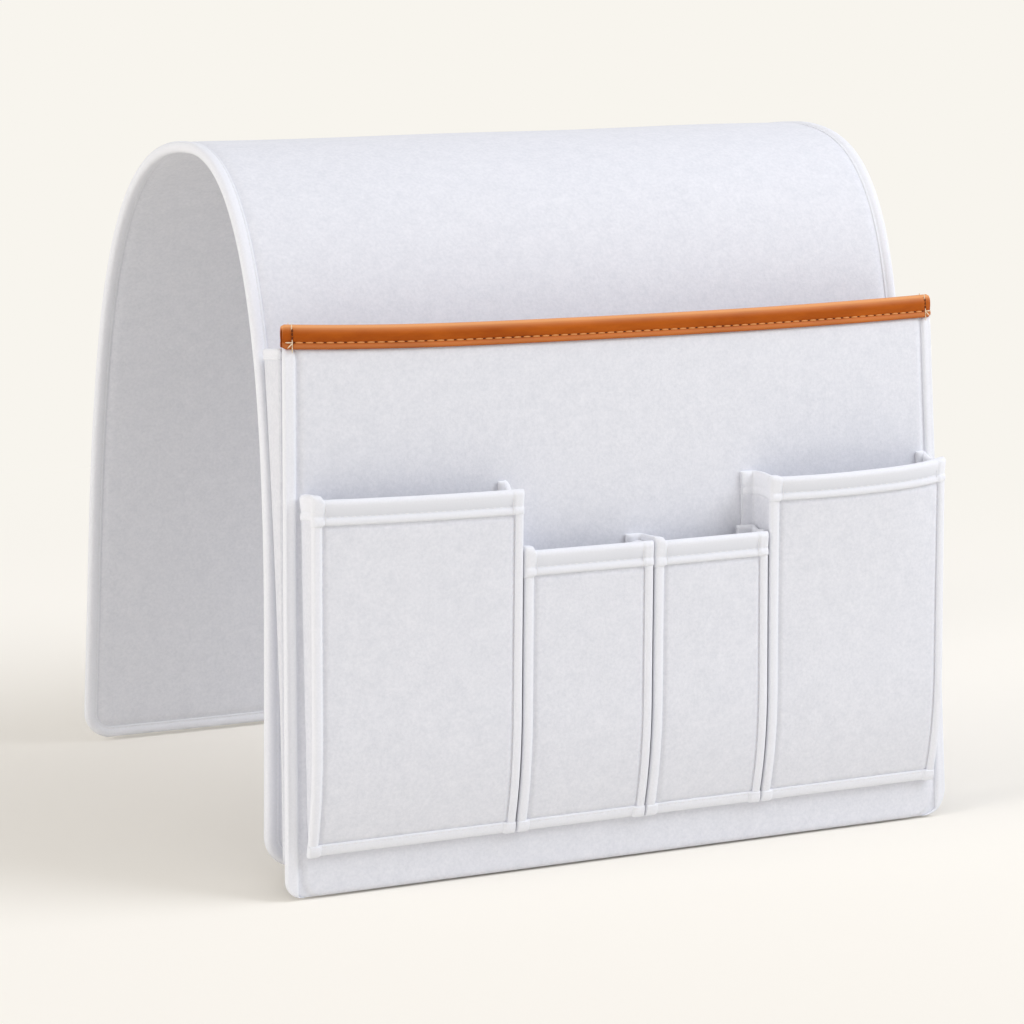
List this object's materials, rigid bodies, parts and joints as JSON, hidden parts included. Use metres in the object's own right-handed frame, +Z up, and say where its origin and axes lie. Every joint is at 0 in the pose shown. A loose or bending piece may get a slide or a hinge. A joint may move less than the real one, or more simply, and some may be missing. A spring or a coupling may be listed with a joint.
{
  "type": "sofa armrest caddy",
  "caption": "Felt caddy that drapes over a sofa arm: an arched saddle with bound edges, a leather-trimmed front pocket and a row of pleated pockets for remotes.",
  "frame": {"origin": "on the floor plane, under the middle of the caddy's box", "axes": "+Z up, the pocket side faces -Y, X runs along the sofa arm"},
  "size_m": [0.3378, 0.3272, 0.3223],
  "materials": {
    "felt": "matte pressed felt",
    "binding_tape": "smooth matte binding tape",
    "leather_trim": "semi-gloss smooth leather"
  },
  "bodies": {
    "saddle_front": {"saddle_front_felt": "felt", "saddle_front_binding_lower": "binding_tape", "saddle_front_binding_left": "binding_tape", "saddle_front_binding_right": "binding_tape", "main_pocket_bottom": "felt", "main_gusset_left": "binding_tape", "main_gusset_right": "binding_tape", "main_gusset_hem_left": "binding_tape", "main_gusset_hem_right": "binding_tape"},
    "saddle_rear": {"saddle_rear_felt": "felt", "saddle_rear_binding_lower": "binding_tape", "saddle_rear_binding_left": "binding_tape", "saddle_rear_binding_right": "binding_tape"},
    "front_panel": {"panel_felt": "felt", "panel_binding_left": "binding_tape", "panel_binding_right": "binding_tape", "mouth_leather_trim": "leather_trim", "pleat_seam_1": "binding_tape", "pleat_seam_2": "binding_tape", "pleat_seam_3": "binding_tape", "pleat_seam_4": "binding_tape", "pleat_seam_5": "binding_tape", "left_tall_pocket_gusset_left": "binding_tape", "left_tall_pocket_gusset_cap_left": "binding_tape", "left_tall_pocket_gusset_right": "binding_tape", "left_tall_pocket_gusset_cap_right": "binding_tape", "left_short_pocket_gusset_left": "binding_tape", "left_short_pocket_gusset_cap_left": "binding_tape", "left_short_pocket_gusset_right": "binding_tape", "left_short_pocket_gusset_cap_right": "binding_tape", "right_short_pocket_gusset_left": "binding_tape", "right_short_pocket_gusset_cap_left": "binding_tape", "right_short_pocket_gusset_right": "binding_tape", "right_short_pocket_gusset_cap_right": "binding_tape", "right_tall_pocket_gusset_left": "binding_tape", "right_tall_pocket_gusset_cap_left": "binding_tape", "right_tall_pocket_gusset_right": "binding_tape", "right_tall_pocket_gusset_cap_right": "binding_tape"},
    "left_tall_pocket": {"left_tall_pocket_front": "felt", "left_tall_pocket_top_band": "binding_tape", "left_tall_pocket_hem": "binding_tape", "left_tall_pocket_fin_left": "binding_tape", "left_tall_pocket_fin_right": "binding_tape"},
    "left_short_pocket": {"left_short_pocket_front": "felt", "left_short_pocket_top_band": "binding_tape", "left_short_pocket_hem": "binding_tape", "left_short_pocket_fin_left": "binding_tape", "left_short_pocket_fin_right": "binding_tape"},
    "right_short_pocket": {"right_short_pocket_front": "felt", "right_short_pocket_top_band": "binding_tape", "right_short_pocket_hem": "binding_tape", "right_short_pocket_fin_left": "binding_tape", "right_short_pocket_fin_right": "binding_tape"},
    "right_tall_pocket": {"right_tall_pocket_front": "felt", "right_tall_pocket_top_band": "binding_tape", "right_tall_pocket_hem": "binding_tape", "right_tall_pocket_fin_left": "binding_tape", "right_tall_pocket_fin_right": "binding_tape"}
  },
  "joints": [
    {"name": "crown_bend", "type": "hinge", "parent": "saddle_front", "child": "saddle_rear", "pos_m": [0, -0.01178, 0.32], "axis": [1, 0, 0], "range_deg": [-18, 12], "stiffness_Nm_per_rad": 15},
    {"name": "mouth_open", "type": "hinge", "parent": "saddle_front", "child": "front_panel", "pos_m": [0, -0.15019, 0.01225], "axis": [1, 0, 0], "range_deg": [-5, 4], "stiffness_Nm_per_rad": 6, "deforming": ["main_gusset_left", "main_gusset_right", "main_gusset_hem_left", "main_gusset_hem_right"]},
    {"name": "left_tall_pocket_open", "type": "hinge", "parent": "front_panel", "child": "left_tall_pocket", "pos_m": [0, -0.15483, 0.0177], "axis": [1, 0, 0], "range_deg": [-4, 3], "stiffness_Nm_per_rad": 0.6, "deforming": ["left_tall_pocket_gusset_left", "left_tall_pocket_gusset_cap_left", "left_tall_pocket_gusset_right", "left_tall_pocket_gusset_cap_right"]},
    {"name": "left_short_pocket_open", "type": "hinge", "parent": "front_panel", "child": "left_short_pocket", "pos_m": [0, -0.15483, 0.0177], "axis": [1, 0, 0], "range_deg": [-4, 3], "stiffness_Nm_per_rad": 0.6, "deforming": ["left_short_pocket_gusset_left", "left_short_pocket_gusset_cap_left", "left_short_pocket_gusset_right", "left_short_pocket_gusset_cap_right"]},
    {"name": "right_short_pocket_open", "type": "hinge", "parent": "front_panel", "child": "right_short_pocket", "pos_m": [0, -0.15483, 0.0177], "axis": [1, 0, 0], "range_deg": [-4, 3], "stiffness_Nm_per_rad": 0.6, "deforming": ["right_short_pocket_gusset_left", "right_short_pocket_gusset_cap_left", "right_short_pocket_gusset_right", "right_short_pocket_gusset_cap_right"]},
    {"name": "right_tall_pocket_open", "type": "hinge", "parent": "front_panel", "child": "right_tall_pocket", "pos_m": [0, -0.15483, 0.0177], "axis": [1, 0, 0], "range_deg": [-4, 3], "stiffness_Nm_per_rad": 0.6, "deforming": ["right_tall_pocket_gusset_left", "right_tall_pocket_gusset_cap_left", "right_tall_pocket_gusset_right", "right_tall_pocket_gusset_cap_right"]}
  ]
}
